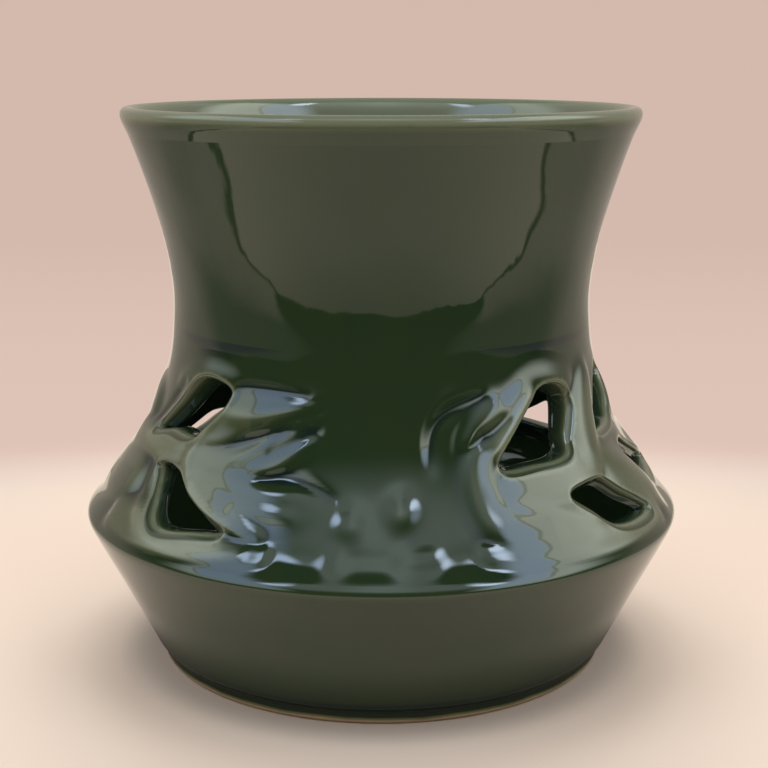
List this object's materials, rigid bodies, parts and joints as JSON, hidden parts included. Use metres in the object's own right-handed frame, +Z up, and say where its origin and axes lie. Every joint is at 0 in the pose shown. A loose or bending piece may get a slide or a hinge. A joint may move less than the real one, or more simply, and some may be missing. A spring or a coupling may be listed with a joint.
{
  "type": "ceramic vase",
  "caption": "Squat waisted ceramic vase with a conical bowl, sharp keel, pierced belt of raised leaves, flared neck and rolled lip, in a glossy dark green glaze.",
  "frame": {"origin": "middle of the standing face, on the vase's axis", "axes": "+Z up along the vase's axis, -Y towards the front with the two leaves, +X to its right"},
  "size_m": [0.197, 0.197, 0.1802],
  "materials": {
    "green_glaze": "high-gloss transparent dark green glaze",
    "leaf_glaze": "high-gloss green glaze, thin and olive on the raised edges, dark in the hollows",
    "lip_glaze": "high-gloss green glaze, thin and pale where it runs off the lip",
    "bare_clay": "unglazed buff clay, wiped smooth"
  },
  "bodies": {
    "root": {"foot_ring": "bare_clay", "bowl": "green_glaze", "leaf_panel_left": "leaf_glaze", "leaf_panel_right": "leaf_glaze", "leaf_panel_back_right": "leaf_glaze", "leaf_panel_back_left": "leaf_glaze", "neck": "green_glaze", "lip": "lip_glaze"}
  },
  "joints": []
}
